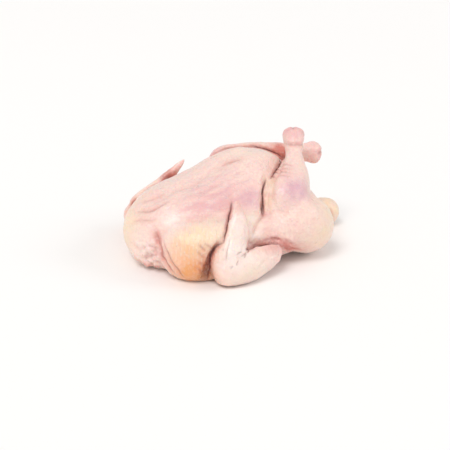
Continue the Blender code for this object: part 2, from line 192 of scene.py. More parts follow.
def smooth_curve(line):
    """Rows along a smooth curve through the line's points."""
    rows = np.array(line, float)
    padded = np.vstack((2 * rows[0] - rows[1], rows, 2 * rows[-1] - rows[-2]))
    step = np.linspace(0.0, 1.0, CURVE_STEPS, endpoint=False)[:, None]
    stretches = []
    for before, start, end, after in zip(padded, padded[1:], padded[2:], padded[3:]):
        stretches.append(0.5 * (
            2 * start + (end - before) * step
            + (2 * before - 5 * start + 4 * end - after) * step ** 2
            + (3 * start - before - 3 * end + after) * step ** 3))
    return np.vstack(stretches + [rows[-1:]])


def bell(value):
    """One at nought, falling smoothly to nothing at about two."""
    return np.exp(-np.square(value))


class Skin:
    """The skin's mesh as arrays, which folds, lumps and colours are worked into."""

    def __init__(self, mesh):
        self.mesh = mesh
        count = len(mesh.vertices)
        self.places = np.empty((count, 3))
        self.normals = np.empty((count, 3))
        self.masks = {name: np.zeros(count) for name in SKIN_MASKS}
        self.masks["seam"] += 1.0
        self.read()

    def read(self):
        """Takes the places and normals from the mesh."""
        self.mesh.vertices.foreach_get("co", flat := np.empty(self.places.size))
        self.places[:] = flat.reshape(-1, 3)
        self.mesh.vertex_normals.foreach_get("vector", flat)
        self.normals[:] = flat.reshape(-1, 3)

    def write(self):
        """Gives the places back to the mesh, and takes its new normals."""
        self.mesh.vertices.foreach_set("co", self.places.ravel())
        self.mesh.update()
        self.read()

    def beside(self, line, reach):
        """The vertices within reach of a line along the skin, how far to its side and how far along."""
        curve = smooth_curve(line)
        margin = reach + SEARCH_MARGIN
        low, high = curve.min(axis=0) - margin, curve.max(axis=0) + margin
        near = np.flatnonzero(np.all((self.places > low) & (self.places < high), axis=1))
        gaps = np.linalg.norm(curve[:, None] - self.places[None, near], axis=2)
        laid = near[gaps.argmin(axis=1)]
        moves, ups = self.places[laid] - curve, self.normals[laid]
        for _ in range(LAYING_STEPS):
            moves[1:-1] = (moves[:-2] + 2 * moves[1:-1] + moves[2:]) / 4
            ups[1:-1] = (ups[:-2] + 2 * ups[1:-1] + ups[2:]) / 4
        path = curve + moves
        sideways = np.cross(np.gradient(path, axis=0), ups)
        sideways /= np.maximum(np.linalg.norm(sideways, axis=1), TINY)[:, None]
        gaps = np.linalg.norm(path[:, None] - self.places[None, near], axis=2)
        nearest = gaps.argmin(axis=0)
        distance = gaps.min(axis=0)
        facing = np.einsum("ij,ij->i", self.normals[near], ups[nearest])
        kept = (distance < reach) & (facing > FACING_LIMIT)
        near, nearest, distance = near[kept], nearest[kept], distance[kept]
        offset = self.places[near] - path[nearest]
        side = np.sign(np.einsum("ij,ij->i", offset, sideways[nearest])) * distance
        along = nearest / (len(path) - 1)
        return near, side, along

    def crease(self, crease, strength):
        """Presses in a crease, raises its lips and the skin on its left, and colours it with painted shade.
        """
        half_width = crease.half_width / 1000
        near, side, along = self.beside(crease.line, CREASE_REACH)
        taper = np.sin(np.pi * np.clip(along, *CREASE_SPAN)) ** CREASE_TAPER
        groove = np.exp(-(np.abs(side) / half_width) ** GROOVE_POWER)
        lips = bell((np.abs(side) - LIP_PLACE * half_width) / half_width)
        overlap = -np.tanh(side / STEP_WIDTH) * np.exp(-np.abs(side) / STEP_FADE)
        lift = crease.lip * lips + crease.step * overlap - crease.depth * groove
        self.places[near] += (strength * taper * lift / 1000)[:, None] * self.normals[near]
        for mask, spread in CREASE_SPREADS.items():
            self.tint(mask, near, getattr(crease, mask) * taper * bell(side / (spread * half_width)))
        seam = side / SEAM_REACH
        nearer = np.abs(seam) < np.abs(self.masks["seam"][near])
        self.masks["seam"][near[nearer]] = seam[nearer]

    def ridge(self, half_width, height, line):
        """Raises the skin along a line."""
        near, side, along = self.beside(line, RIDGE_REACH * half_width)
        lift = height * np.sqrt(np.sin(np.pi * along)) * bell(side / half_width)
        self.places[near] += lift[:, None] * self.normals[near]

    def inside(self, centre, radii):
        """How far inside an oval region each vertex is: one at its centre, falling away past its edge."""
        return bell(np.linalg.norm((self.places - centre) / radii, axis=1))

    def lump(self, height, centre, radii):
        """Swells the skin in an oval region."""
        self.places += (height * self.inside(centre, radii))[:, None] * self.normals

    def pull(self, move, centre, radii):
        """Draws the skin in an oval region out by this move."""
        self.places += self.inside(centre, radii)[:, None] * np.array(move)

    def ripple(self, height, size, share, seed):
        """Raises and lowers the skin by smooth noise of this size, as strongly as the share says."""
        chosen = np.flatnonzero(share > LEAST_SHARE)
        stretch, start = np.array(size), Vector(seed)
        heights = np.array([noise.noise(Vector(place / stretch + start)) for place in self.places[chosen]])
        self.places[chosen] += (height * heights * share[chosen])[:, None] * self.normals[chosen]

    def find_hollows(self, steps, depth):
        """Marks the skin that lies up to this far below its surroundings, which are evened out in steps."""
        ends = np.empty(2 * len(self.mesh.edges), int)
        self.mesh.edges.foreach_get("vertices", ends)
        first, second = ends[::2], ends[1::2]
        count = len(self.places)
        joined = np.bincount(first, minlength=count) + np.bincount(second, minlength=count)
        even = self.places.copy()
        for _ in range(steps):
            sums = np.stack([
                np.bincount(first, even[second, axis], count)
                + np.bincount(second, even[first, axis], count) for axis in range(3)], axis=1)
            even = 0.5 * even + 0.5 * sums / joined[:, None]
        below = np.einsum("ij,ij->i", even - self.places, self.normals)
        self.masks["hollow_shade"] = np.clip(below / depth, 0.0, 1.0)

    def tint(self, mask, where, amount):
        """Adds to a mask at some vertices, up to one."""
        self.masks[mask][where] = np.clip(self.masks[mask][where] + amount, 0.0, 1.0)

    def paint(self, mask, amount, centre, radii):
        """Adds to a mask in an oval region."""
        self.tint(mask, slice(None), amount * self.inside(centre, radii))

    def paint_line(self, mask, amount, half_width, line):
        """Adds to a mask along a line."""
        near, side, along = self.beside(line, PAINT_REACH * half_width)
        self.tint(mask, near, amount * np.sqrt(np.sin(np.pi * along)) * bell(side / half_width))

    def store(self):
        """Writes every mask onto the mesh, for the material to read."""
        for name, values in self.masks.items():
            attribute = self.mesh.attributes.new(name, "FLOAT", "POINT")
            attribute.data.foreach_set("value", values.astype(np.float32))


# Regions of slack skin: the centre and radii of each.
SLACK_REGIONS = {
    "breast": ((-0.045, -0.020, 0.072), (0.055, 0.045, 0.026)),
    "shoulder": ((-0.092, -0.064, 0.036), (0.026, 0.022, 0.028)),
    "neck": ((-0.122, -0.024, 0.018), (0.016, 0.018, 0.016)),
    "forearm": ((-0.045, -0.090, 0.022), (0.036, 0.016, 0.014)),
    "thigh": ((-0.004, -0.078, 0.024), (0.026, 0.018, 0.012)),
}
# Ripples in the skin: the region, the height, the size along X, Y and Z, and where the noise starts.
RIPPLES = (
    ("everywhere", 0.0006, (0.011, 0.011, 0.011), (3.1, 0.4, 7.7)),
    ("everywhere", 0.0003, (0.0045, 0.0045, 0.0045), (6.1, 2.4, 3.7)),
    ("breast", 0.0016, (0.024, 0.007, 0.007), (1.3, 2.6, 0.2)),
    ("shoulder", 0.0009, (0.005, 0.012, 0.016), (8.2, 1.1, 4.0)),
    ("neck", 0.0040, (0.0065, 0.0065, 0.0050), (5.5, 3.3, 1.9)),
    ("neck", 0.0022, (0.0035, 0.0035, 0.0030), (1.5, 7.3, 4.9)),
    ("forearm", 0.0014, (0.006, 0.006, 0.005), (2.2, 9.1, 6.4)),
    ("thigh", 0.0018, (0.010, 0.008, 0.004), (7.4, 0.9, 2.8)),
)
# The loose skin hangs lowest in a lump at the neck, and its edge on the table is uneven.
NECK_LUMP = (0.0035, (-0.127, -0.010, 0.012), (0.010, 0.014, 0.010))
NECK_RIM = ((-0.123, -0.020, 0.006), (0.012, 0.022, 0.006))
NECK_RIM_RIPPLE = (0.0050, (0.0050, 0.0050, 0.0200))
NECK_RIM_START = (4.4, 6.3, 0.9)

# The corners of each leg's bare end: the height and the centre of each, and the radii of all.
LEG_END_CORNERS = (
    (0.0024, (0.0510, 0.0000, 0.1130)), (0.0024, (0.0650, -0.0100, 0.1135)),
    (0.0014, (0.0965, 0.0045, 0.0925)), (0.0028, (0.0930, -0.0030, 0.0750)))
LEG_END_RADII = (0.0065, 0.0065, 0.0070)
# The left wing's tip: how far it is drawn out, its centre and its radii.
LEFT_WING_TIP = ((0.0030, -0.0002, 0.0028), (-0.0315, 0.0658, 0.0735), (0.0060, 0.0060, 0.0060))
# The fat along the right leg's front: its half width, its height and its line.
LEG_FAT = (0.0040, 0.0018, (
    (0.008, -0.044, 0.083), (0.001, -0.047, 0.075), (-0.004, -0.053, 0.064), (-0.005, -0.060, 0.053)))


def work_relief(skin):
    """Works in the lumps, pleats and slack of the skin."""
    shares = {name: skin.inside(*region) for name, region in SLACK_REGIONS.items()}
    shares["everywhere"] = np.ones(len(skin.places))
    for region, height, size, start in RIPPLES:
        skin.ripple(height, size, shares[region], start)
    skin.lump(*NECK_LUMP)
    skin.ripple(*NECK_RIM_RIPPLE, skin.inside(*NECK_RIM), NECK_RIM_START)
    skin.write()


def work_ends(skin):
    """Swells the corners of each leg's bare end, points the left wing and raises the fat on the right leg."""
    for height, centre in LEG_END_CORNERS:
        skin.lump(height, centre, LEG_END_RADII)
    skin.pull(*LEFT_WING_TIP)
    skin.write()
    skin.ridge(*LEG_FAT)
    skin.write()


def work_creases(skin, settings):
    """Presses in the creases between the breast, legs and wings, then the fine lines, all above the table."""
    for crease in CREASES.values():
        skin.crease(crease, settings.fold_depth)
    skin.write()
    for section, lines in FINE_LINES.values():
        for line in lines:
            skin.crease(Crease(*section, line), settings.fold_depth)
    skin.places[:, 2] = np.maximum(skin.places[:, 2], 0.0)
    skin.write()


# Regions of colour for each mask: how strong each is, its centre and its radii.
PATCHES = {
    # Thin skin with pink flesh under it, on the breast, the neck, the right wing and the legs.
    "pink": (
        (0.75, (-0.045, -0.045, 0.068), (0.034, 0.020, 0.014)),
        (0.65, (-0.080, -0.036, 0.064), (0.022, 0.012, 0.010)),
        (0.50, (-0.058, -0.020, 0.074), (0.030, 0.018, 0.014)),
        (0.15, (-0.100, 0.000, 0.062), (0.020, 0.024, 0.014)),
        (0.30, (-0.091, -0.042, 0.058), (0.014, 0.010, 0.010)),
        (0.45, (-0.115, -0.030, 0.030), (0.012, 0.016, 0.020)),
        (0.45, (-0.018, -0.062, 0.043), (0.014, 0.012, 0.010)),
        (0.60, (-0.015, -0.078, 0.026), (0.018, 0.014, 0.008)),
        (0.35, (0.010, -0.050, 0.092), (0.016, 0.016, 0.012)),
        (0.50, (-0.080, -0.090, 0.022), (0.010, 0.010, 0.012)),
    ),
    # Long streaks over the breast.
    "streaked": (
        (1.00, (-0.040, -0.032, 0.076), (0.056, 0.030, 0.018)),
    ),
    # Fat under the skin, on the breast's crest and front, the shoulder, the forearm, the thigh and the tail;
    # the two under the forearm and the thigh are a painted warm reflection from below.
    "cream": (
        (0.25, (0.010, 0.000, 0.099), (0.036, 0.020, 0.010)),
        (1.20, (-0.094, -0.066, 0.042), (0.030, 0.022, 0.017)),
        (0.80, (-0.126, 0.012, 0.030), (0.012, 0.018, 0.026)),
        (0.30, (-0.108, 0.024, 0.056), (0.022, 0.012, 0.014)),
        (1.00, (-0.034, -0.063, 0.050), (0.012, 0.012, 0.010)),
        (1.00, (0.002, -0.045, 0.076), (0.007, 0.008, 0.012)),
        (1.00, (-0.005, -0.053, 0.064), (0.007, 0.008, 0.012)),
        (0.60, (0.040, 0.008, 0.096), (0.014, 0.014, 0.008)),
        (0.60, (0.060, -0.070, 0.045), (0.030, 0.030, 0.030)),
        (0.90, (0.112, 0.000, 0.020), (0.024, 0.026, 0.020)),
        # Painted warm reflection from below, under the forearm and the thigh.
        (0.60, (-0.060, -0.098, 0.015), (0.026, 0.010, 0.009)),
        (0.40, (0.033, -0.087, 0.029), (0.020, 0.010, 0.014)),
    ),
    # Warm yellow low on the shoulder: partly yellow fat and partly a painted warm reflection from below.
    "amber": (
        (1.00, (-0.100, -0.068, 0.010), (0.026, 0.022, 0.014)),
        (0.50, (-0.102, -0.072, 0.028), (0.022, 0.018, 0.014)),
        (0.30, (-0.112, -0.059, 0.038), (0.013, 0.011, 0.016)),
    ),
    # Darker flesh showing through: the right drumstick and the side of the breast.
    "mauve": (
        (1.00, (0.010, -0.066, 0.076), (0.012, 0.012, 0.012)),
        (0.50, (0.026, -0.068, 0.074), (0.012, 0.012, 0.012)),
        (0.70, (-0.030, -0.052, 0.068), (0.014, 0.010, 0.010)),
        (0.30, (-0.068, -0.0435, 0.0645), (0.022, 0.007, 0.006)),
    ),
    # The palest skin, on the right wing, at the neck end, before the right thigh and along the crest. The
    # patch at the neck end is a painted highlight, and the one between the right hand and thigh is painted
    # light over shaded skin.
    "pale": (
        (0.90, (-0.074, -0.086, 0.036), (0.022, 0.012, 0.022)),
        (0.70, (-0.061, -0.073, 0.062), (0.010, 0.010, 0.014)),
        (0.30, (-0.078, -0.092, 0.016), (0.014, 0.011, 0.016)),
        (0.40, (-0.040, -0.094, 0.018), (0.034, 0.014, 0.014)),
        # Painted highlight.
        (0.80, (-0.105, -0.034, 0.054), (0.010, 0.014, 0.012)),
        (0.20, (-0.114, -0.046, 0.044), (0.008, 0.010, 0.012)),
        (0.80, (-0.033, -0.064, 0.050), (0.011, 0.011, 0.010)),
        # Painted light over shaded skin between the right hand and thigh.
        (0.70, (-0.037, -0.072, 0.039), (0.010, 0.008, 0.008)),
        (0.50, (-0.005, -0.062, 0.062), (0.010, 0.008, 0.010)),
        (0.40, (0.020, 0.004, 0.097), (0.024, 0.014, 0.010)),
        (0.50, (-0.001, -0.048, 0.071), (0.007, 0.008, 0.016)),
        (0.50, (-0.125, -0.018, 0.026), (0.010, 0.014, 0.012)),
    ),
    # The legs' bare ends, and the left leg beside the breast.
    "lavender": (
        (0.90, (0.055, -0.008, 0.113), (0.016, 0.016, 0.010)),
        (0.45, (0.096, 0.000, 0.086), (0.014, 0.014, 0.014)),
        (0.50, (-0.004, 0.058, 0.081), (0.016, 0.010, 0.008)),
    ),
    # Raw pink by the right wing and thigh, at the neck, on the left wing and behind the breast. Behind the
    # breast it is raw flesh; by the right wrist, above the right forearm, under the right thigh and on the
    # left wing, where it lies behind the breast, it is painted shade.
    "raw": (
        (0.35, (-0.096, -0.075, 0.020), (0.010, 0.010, 0.018)),
        (0.15, (-0.119, -0.030, 0.039), (0.006, 0.007, 0.007)),
        (0.35, (-0.055, -0.070, 0.074), (0.008, 0.008, 0.008)),
        (0.40, (0.006, -0.078, 0.018), (0.020, 0.010, 0.007)),
        (0.45, (-0.025, -0.085, 0.028), (0.014, 0.006, 0.005)),
        (0.16, (-0.049, -0.050, 0.065), (0.014, 0.010, 0.008)),
        (1.00, (-0.045, 0.067, 0.060), (0.010, 0.008, 0.008)),
        (0.30, (-0.085, 0.082, 0.024), (0.012, 0.010, 0.016)),
        (0.12, (0.046, 0.024, 0.089), (0.014, 0.008, 0.006)),
        (1.00, (0.060, 0.012, 0.082), (0.008, 0.010, 0.010)),
        (0.70, (0.058, 0.018, 0.090), (0.008, 0.010, 0.006)),
        (0.22, (0.092, -0.004, 0.076), (0.008, 0.008, 0.008)),
    ),
    # Painted shade in the folds and gaps, and three dark spots on the neck.
    "shade": (
        (0.65, (-0.091, -0.073, 0.010), (0.006, 0.008, 0.014)),
        (0.45, (-0.047, 0.066, 0.057), (0.007, 0.006, 0.005)),
        (0.60, (0.061, 0.011, 0.079), (0.005, 0.006, 0.006)),
        (0.35, (-0.1251, -0.0204, 0.0184), (0.0015, 0.0015, 0.0015)),
        (0.25, (-0.1276, -0.016, 0.0225), (0.0015, 0.0015, 0.0015)),
        (0.30, (-0.1226, -0.0279, 0.0248), (0.0015, 0.0015, 0.0015)),
    ),
    # Follicles that show as dots.
    "speckled": (
        (1.20, (-0.125, -0.019, 0.018), (0.012, 0.014, 0.012)),
    ),
    # Follicles in rows.
    "tract": (
        (1.60, (-0.092, -0.064, 0.040), (0.028, 0.022, 0.022)),
    ),
    # Fine wrinkles on the drumstick.
    "wrinkled": (
        (1.00, (0.013, -0.040, 0.087), (0.012, 0.014, 0.008)),
    ),
}
# The left side has the right side's regions of these masks too, from those beyond this Y, but fainter,
# the painted reflection and painted light among them.
LEFT_SIDE_MASKS = ("pink", "cream", "amber", "pale", "mauve")
RIGHT_SIDE = -0.050
LEFT_SIDE_STRENGTH = 0.6

NECK_EDGE = (
    (-0.128, -0.006, 0.010), (-0.124, -0.018, 0.006), (-0.117, -0.029, 0.004), (-0.110, -0.041, 0.004))
# Inside the left wing, where it lies behind the breast: painted shade.
WING_INSIDE = (
    (-0.0855, 0.0800, 0.0280), (-0.0800, 0.0750, 0.0350), (-0.0710, 0.0725, 0.0410),
    (-0.0620, 0.0700, 0.0470), (-0.0540, 0.0680, 0.0525), (-0.0440, 0.0660, 0.0600))
# Lines of colour: the mask, how strong it is, its half width and the line.
PAINTED_LINES = (
    ("raw", 0.7, 0.003, NECK_EDGE), ("raw", 0.7, 0.004, WING_INSIDE), ("shade", 0.5, 0.002, WING_INSIDE))
# The steps that even the skin out to find its hollows for painted shade, and the depth that marks one fully.
HOLLOW_STEPS = 40
HOLLOW_DEPTH = 0.0009


def work_colours(skin):
    """Lays regions and lines of colour, painted shade among them, on the skin, and marks its hollows."""
    for mask, regions in PATCHES.items():
        for strength, centre, radii in regions:
            skin.paint(mask, strength, centre, radii)
            if mask in LEFT_SIDE_MASKS and centre[1] < RIGHT_SIDE:
                skin.paint(mask, LEFT_SIDE_STRENGTH * strength, (centre[0], -centre[1], centre[2]), radii)
    for painted in PAINTED_LINES:
        skin.paint_line(*painted)
    skin.find_hollows(HOLLOW_STEPS, HOLLOW_DEPTH)


class ShaderTree:
    """A shader's node tree, with short ways to add nodes to it and join them."""

    def __init__(self, tree):
        self.tree = tree

    def node(self, kind, settings=None, **joined):
        """Adds a node. Each joined name is a socket's, or i0, i1 and so on for a socket by its number."""
        made = self.tree.nodes.new("ShaderNode" + kind)
        for name, value in (settings or {}).items():
            setattr(made, name, value)
        for name, value in joined.items():
            numbered = name[0] == "i" and name[1:].isdigit()
            self.join(value, made.inputs[int(name[1:]) if numbered else name])
        return made

    def join(self, value, socket):
        """Links a socket from another, or sets its own value."""
        if isinstance(value, bpy.types.NodeSocket):
            self.tree.links.new(value, socket)
        else:
            socket.default_value = value

    def math(self, operation, *values, clamp=False):
        """What a sum on one, two or three values comes to."""
        joined = {f"i{number}": value for number, value in enumerate(values)}
        return self.node("Math", {"operation": operation, "use_clamp": clamp}, **joined).outputs[0]

    def product(self, first, second):
        """Two values multiplied."""
        return self.math("MULTIPLY", first, second)

    def stretched(self, vector, stretch):
        """A place with each of its coordinates multiplied."""
        return self.node("VectorMath", {"operation": "MULTIPLY"}, i0=vector, i1=stretch).outputs[0]

    def along(self, vector, direction):
        """How far a place lies along a direction."""
        return self.node("VectorMath", {"operation": "DOT_PRODUCT"}, i0=vector, i1=direction).outputs["Value"]

    def clouds(self, vector, scale, detail, roughness=0.5, kind="FBM"):
        """Smooth noise, from about nought to one."""
        made = self.node("TexNoise", {"noise_type": kind}, Vector=vector, Scale=scale, Detail=detail)
        made.inputs["Roughness"].default_value = roughness
        return made.outputs["Fac"]

    def ramp(self, value, start, end, low=0.0, high=1.0, smooth=False):
        """Turns the range from start to end into that from low to high."""
        kind = "SMOOTHSTEP" if smooth else "LINEAR"
        return self.node("MapRange", {"interpolation_type": kind}, Value=value, i1=start, i2=end, i3=low,
                         i4=high).outputs[0]

    def layered(self, under, tone, amount):
        """A tone laid over a colour, as strongly as the amount says."""
        below = under if isinstance(under, bpy.types.NodeSocket) else (*under, 1.0)
        return self.node("Mix", {"data_type": "RGBA"}, i0=amount, i6=below, i7=(*tone, 1.0)).outputs[2]


class ShaderGroup(ShaderTree):
    """A shader node group, with named inputs and one output."""

    def __init__(self, name, inputs, output):
        super().__init__(bpy.data.node_groups.new(name, "ShaderNodeTree"))
        for socket, kind, default in (("Vector", "NodeSocketVector", None),) + inputs:
            made = self.tree.interface.new_socket(socket, in_out="INPUT", socket_type=kind)
            if default is not None:
                made.default_value = default
        self.tree.interface.new_socket(output, in_out="OUTPUT", socket_type="NodeSocketFloat")
        self.given = self.tree.nodes.new("NodeGroupInput").outputs

    def finished(self, result):
        """The group's tree, once its result is joined to the output."""
        self.join(result, self.tree.nodes.new("NodeGroupOutput").inputs[0])
        return self.tree


# How far noise swings a patch's strength, against its raggedness.
PATCH_SWING = 2.5
# The noise that follicle rows wander by, and how far it moves each row sideways and each mark along its row.
ROW_DRIFT_SCALE = 90.0
ROW_SWAY = 2.0
MARK_SWAY = 1.5
# How much lower each row of marks starts than the one before it, in marks.
ROW_STAGGER = 0.5
# Where a mark begins and is at its strongest, across its row and along it, as parts of the spacing.
MARK_ACROSS = (0.22, 0.48)
MARK_ALONG = (0.04, 0.42)


def mottling_group():
    """Ragged patches: a mask whose edge is broken up by noise."""
    group = ShaderGroup("Skin patches", (
        ("Mask", "NodeSocketFloat", 0.5), ("Stretch", "NodeSocketVector", (100.0, 100.0, 100.0)),
        ("Raggedness", "NodeSocketFloat", 0.5)), "Mask")
    clouds = group.clouds(group.stretched(group.given["Vector"], group.given["Stretch"]), 1.0, 3.0, 0.6)
    swing = group.product(group.math("SUBTRACT", clouds, 0.5), group.given["Raggedness"])
    lifted = group.math("MULTIPLY_ADD", swing, PATCH_SWING, 1.0)
    return group.finished(group.math("MULTIPLY", lifted, group.given["Mask"], clamp=True))


def follicle_group():
    """Small round follicles, spaced over the skin."""
    group = ShaderGroup("Skin follicles", (
        ("Stretch", "NodeSocketVector", (250.0, 250.0, 250.0)), ("Scatter", "NodeSocketFloat", 0.7),
        ("Width", "NodeSocketFloat", 0.3)), "Mask")
    place = group.stretched(group.given["Vector"], group.given["Stretch"])
    cells = group.node("TexVoronoi", {"feature": "F1"}, Vector=place, Scale=1.0,
                       Randomness=group.given["Scatter"])
    return group.finished(group.ramp(
        cells.outputs["Distance"], 0.0, group.given["Width"], 1.0, 0.0, smooth=True))


def row_group():
    """Rows of short follicle marks, spaced across one direction and drawn out down the other."""
    group = ShaderGroup("Skin follicle rows", (
        ("Across", "NodeSocketVector", (200.0, 0.0, 0.0)), ("Down", "NodeSocketVector", (0.0, 0.0, 120.0)),
        ("Scatter", "NodeSocketFloat", 0.5)), "Mask")
    place = group.given["Vector"]
    drift = group.math("SUBTRACT", group.clouds(place, ROW_DRIFT_SCALE, 1.0), 0.5)
    wander = group.product(drift, group.given["Scatter"])
    across = group.math("MULTIPLY_ADD", wander, ROW_SWAY, group.along(place, group.given["Across"]))
    row = group.math("FLOOR", across)
    staggered = group.math("MULTIPLY_ADD", row, ROW_STAGGER, group.along(place, group.given["Down"]))
    down = group.math("MULTIPLY_ADD", wander, MARK_SWAY, staggered)
    narrow = group.ramp(group.math("PINGPONG", across, 0.5), *MARK_ACROSS, smooth=True)
    short = group.ramp(group.math("PINGPONG", down, 0.5), *MARK_ALONG, smooth=True)
    return group.finished(group.product(narrow, short))


def wrinkle_group():
    """Fine wrinkles that run one way over the skin."""
    group = ShaderGroup("Skin wrinkles", (("Stretch", "NodeSocketVector", (300.0, 300.0, 60.0)),), "Height")
    place = group.stretched(group.given["Vector"], group.given["Stretch"])
    return group.finished(group.clouds(place, 1.0, 2.0, kind="RIDGED_MULTIFRACTAL"))


# Layers of colour from the lowest up: the mask, the colour's setting, how finely the edge is broken up along
# X, Y and Z, how ragged it is, and how strong the layer is at most.
SKIN_LAYERS = (
    ("cream", "cream_colour", (90.0, 90.0, 90.0), 0.9, 1.0),
    ("pink", "pink_colour", (50.0, 150.0, 150.0), 1.8, 1.0),
    ("mauve", "mauve_colour", (110.0, 110.0, 110.0), 0.9, 1.0),
    ("amber", "amber_colour", (100.0, 100.0, 100.0), 0.6, 1.0),
    ("pale", "pale_colour", (90.0, 90.0, 90.0), 0.6, 1.0),
    ("lavender", "lavender_colour", (140.0, 140.0, 140.0), 1.0, 1.0),
    # Painted shade: raw pink laid where the skin lies low.
    ("hollow_shade", "raw_pink_and_shade_colour", (160.0, 160.0, 160.0), 0.4, 0.22),
    ("raw", "raw_pink_and_shade_colour", (160.0, 160.0, 160.0), 0.6, 0.85),
    ("shade", "shade_colour", (160.0, 160.0, 160.0), 0.2, 0.95),
)
# How fine the noise is: in the ground's clouds, the pink flecks, the bump's grain and the gloss.
CLOUD_SCALE = 55.0
FLECK_SCALE = 330.0
GRAIN_SCALE = 650.0
GLOSS_SCALE = 75.0
# The noise that flecks and streaks show from and that they are strongest at, and how strong that is.
FLECK_RANGE = (0.42, 0.70)
FLECK_STRENGTH = 0.50
STREAK_RANGE = (0.50, 0.75)
STREAK_STRENGTH = 0.60
# The noise where the skin is wettest and where it is driest.
GLOSS_RANGE = (0.3, 0.7)
# Spacings, each as a stretch along X, Y and Z: streaks, follicles, dots, creases' broken lines and wrinkles.
STREAK_STRETCH = (32.0, 170.0, 170.0)
PORE_STRETCH = (270.0, 270.0, 270.0)
DOT_STRETCH = (230.0, 230.0, 230.0)
LINE_STRETCH = (200.0, 200.0, 200.0)
WRINKLE_STRETCH = (190.0, 190.0, 420.0)
# The directions across the rows of follicles and down them, each as long as there are marks to a metre.
ROW_ACROSS = (205.0, -143.0, 0.0)
ROW_DOWN = (0.0, 0.0, 160.0)
# How strongly the follicles, their rows and their dots show in the colour.
PORE_TINT = 0.18
ROW_TINT = 0.35
DOT_TINT = 0.7
# Where the thin dark line of painted shade along a crease starts to fade and where it ends, as parts of the
# seam mask.
THIN_LINE = (0.05, 0.32)
# How high the follicles, their rows, the wrinkles, the flecks and the grain stand, against follicle_height.
PORE_HEIGHT = 1.0
ROW_HEIGHT = 0.9
WRINKLE_HEIGHT = 1.0
FLECK_HEIGHT = 1.0
GRAIN_HEIGHT = 0.6
BUMP_STRENGTH = 0.7
# How light spreads under the skin, in red, green and blue, and how far in metres.
LIGHT_SPREAD = (1.0, 0.40, 0.25)
LIGHT_REACH = 0.0025
# The skin's own shine, and the wet coat over it.
SHINE = 0.45
WET_COAT = 0.20
WET_COAT_ROUGHNESS = 0.22


def srgb(red, green, blue):
    """A colour as a picture holds it, as the linear colour that Blender takes."""
    return tuple(v / 12.92 if v <= 0.04045 else ((v + 0.055) / 1.055) ** 2.4 for v in (red, green, blue))


def skin_material(finish, follicle_height):
    """Moist raw skin: ragged colour patches, painted shade in folds, follicles, wrinkles and a wet gloss."""
    material = bpy.data.materials.new("raw_skin")
    material.use_nodes = True
    material.node_tree.nodes.clear()
    tree = ShaderTree(material.node_tree)
    patches, follicles, rows, wrinkles = mottling_group(), follicle_group(), row_group(), wrinkle_group()
    where = tree.node("TexCoord").outputs["Object"]

    def mask(name):
        return tree.node("Attribute", {"attribute_name": name}).outputs["Fac"]

    def placed(group, **joined):
        return tree.node("Group", {"node_tree": group}, Vector=where, **joined).outputs[0]

    colour = tree.layered(finish.ground_colour, finish.warm_colour, tree.clouds(where, CLOUD_SCALE, 4.0, 0.6))
    flecks = tree.clouds(where, FLECK_SCALE, 2.0, 0.6)
    fleck = tree.ramp(flecks, *FLECK_RANGE, 0.0, FLECK_STRENGTH)
    colour = tree.layered(colour, finish.pink_colour, fleck)
    for name, tone, stretch, raggedness, strongest in SKIN_LAYERS:
        ragged = placed(patches, Mask=mask(name), Stretch=stretch, Raggedness=raggedness)
        colour = tree.layered(colour, getattr(finish, tone), tree.product(ragged, strongest))

    streaks = tree.clouds(tree.stretched(where, STREAK_STRETCH), 1.0, 3.0)
    streak = tree.ramp(streaks, *STREAK_RANGE, 0.0, STREAK_STRENGTH)
    colour = tree.layered(colour, finish.mauve_colour, tree.product(streak, mask("streaked")))

    pores = placed(follicles, Stretch=PORE_STRETCH, Scatter=0.9, Width=0.50)
    colour = tree.layered(colour, finish.pale_colour, tree.product(pores, PORE_TINT))
    marks = placed(rows, Across=ROW_ACROSS, Down=ROW_DOWN, Scatter=0.3)
    marks = tree.product(marks, mask("tract"))
    colour = tree.layered(colour, finish.pale_colour, tree.product(marks, ROW_TINT))
    dots = placed(follicles, Stretch=DOT_STRETCH, Scatter=1.0, Width=0.34)
    dots = tree.product(dots, mask("speckled"))
    colour = tree.layered(colour, finish.follicle_colour, tree.product(dots, DOT_TINT))

    # Each crease's thin dark line of painted shade.
    line = tree.ramp(tree.math("ABSOLUTE", mask("seam")), *THIN_LINE, 1.0, 0.0, smooth=True)
    line = placed(patches, Mask=line, Stretch=LINE_STRETCH, Raggedness=0.7)
    colour = tree.layered(colour, finish.shade_colour, tree.product(line, mask("thin")))

    creased = tree.product(placed(wrinkles, Stretch=WRINKLE_STRETCH), mask("wrinkled"))
    grain = tree.clouds(where, GRAIN_SCALE, 3.0, 0.6)
    height = 0.0
    for source, amount in (
            (pores, PORE_HEIGHT), (marks, ROW_HEIGHT), (creased, WRINKLE_HEIGHT), (flecks, FLECK_HEIGHT),
            (grain, GRAIN_HEIGHT)):
        height = tree.math("MULTIPLY_ADD", source, amount, height)
    bump = tree.node("Bump", Strength=BUMP_STRENGTH, Distance=follicle_height, Height=height)

    wetness = tree.clouds(where, GLOSS_SCALE, 3.0)
    roughness = tree.ramp(wetness, *GLOSS_RANGE, finish.wet_roughness, finish.dry_roughness)
    shader = tree.node("BsdfPrincipled", {"subsurface_method": "RANDOM_WALK"}, **{
        "Base Color": colour, "Roughness": roughness, "Normal": bump.outputs[0],
        "Subsurface Weight": finish.translucency, "Subsurface Radius": LIGHT_SPREAD,
        "Subsurface Scale": LIGHT_REACH, "Specular IOR Level": SHINE, "Coat Weight": WET_COAT,
        "Coat Roughness": WET_COAT_ROUGHNESS})
    tree.node("OutputMaterial", Surface=shader.outputs[0])
    return material


def colour_property(name, description, colour):
    """A colour that the user can change, given as a picture holds it."""
    return FloatVectorProperty(name=name, description=description, subtype="COLOR", size=3, min=0.0, max=1.0,
                               default=srgb(*colour))


